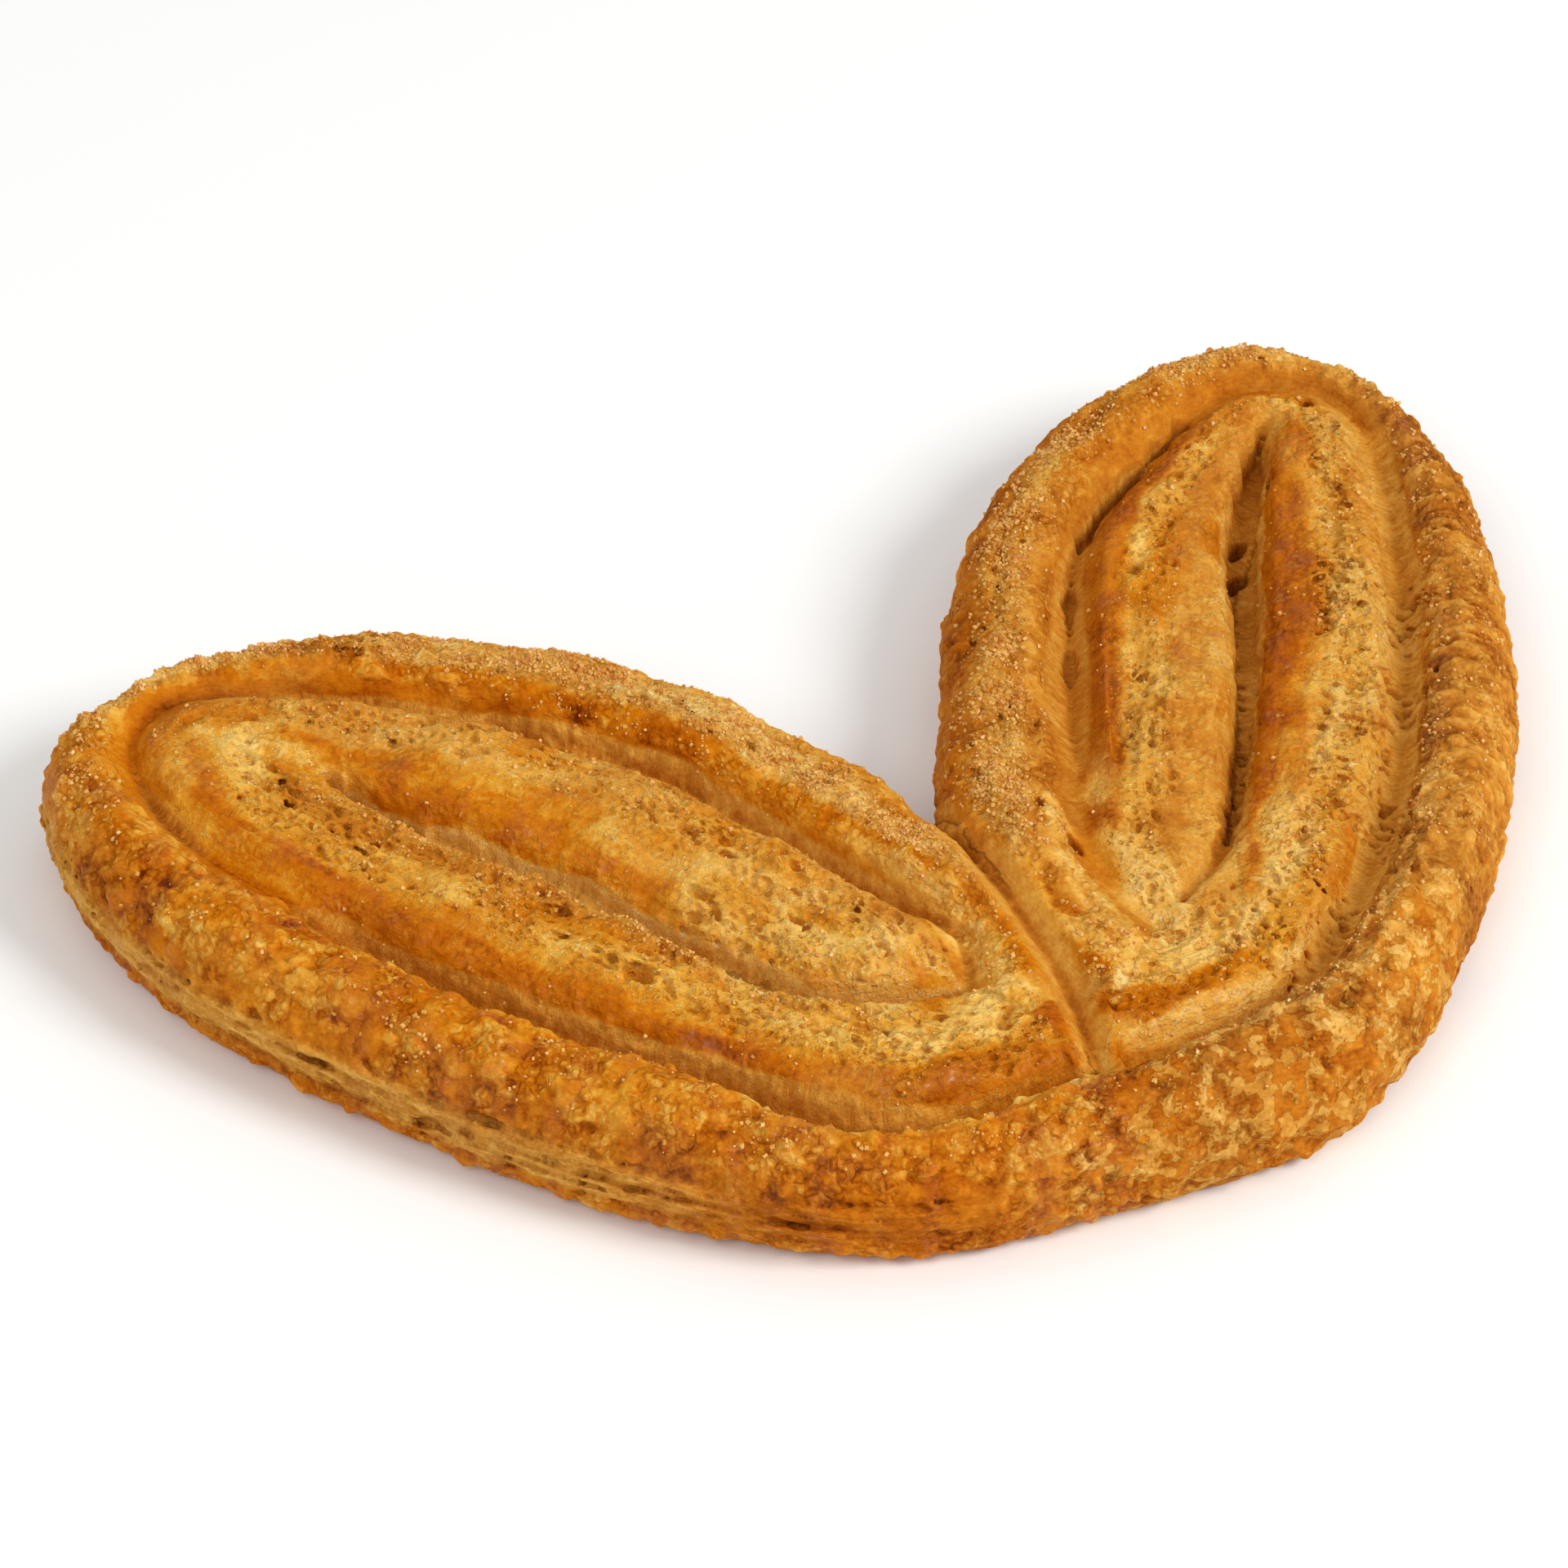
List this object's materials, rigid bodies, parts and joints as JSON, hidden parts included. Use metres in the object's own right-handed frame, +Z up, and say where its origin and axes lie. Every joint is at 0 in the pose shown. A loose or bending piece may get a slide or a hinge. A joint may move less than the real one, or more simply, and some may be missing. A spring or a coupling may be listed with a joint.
{
  "type": "palmier pastry",
  "caption": "Heart-shaped puff pastry: one folded ribbon rolled in from both ends, with spiral grooves and a sugared, browned surface.",
  "frame": {"origin": "middle of the heart's bounding box, on the surface that it lies on", "axes": "+Z up out of the top side, +Y from the heart's point towards the notch between the two rolls, +X to the right roll"},
  "size_m": [0.1514, 0.1072, 0.0149],
  "materials": {
    "baked_pastry": "baked puff pastry, golden brown with pale open layers and grains of sugar, satin where the sugar has caramelised"
  },
  "bodies": {
    "root": {"palmier": "baked_pastry"}
  },
  "joints": []
}
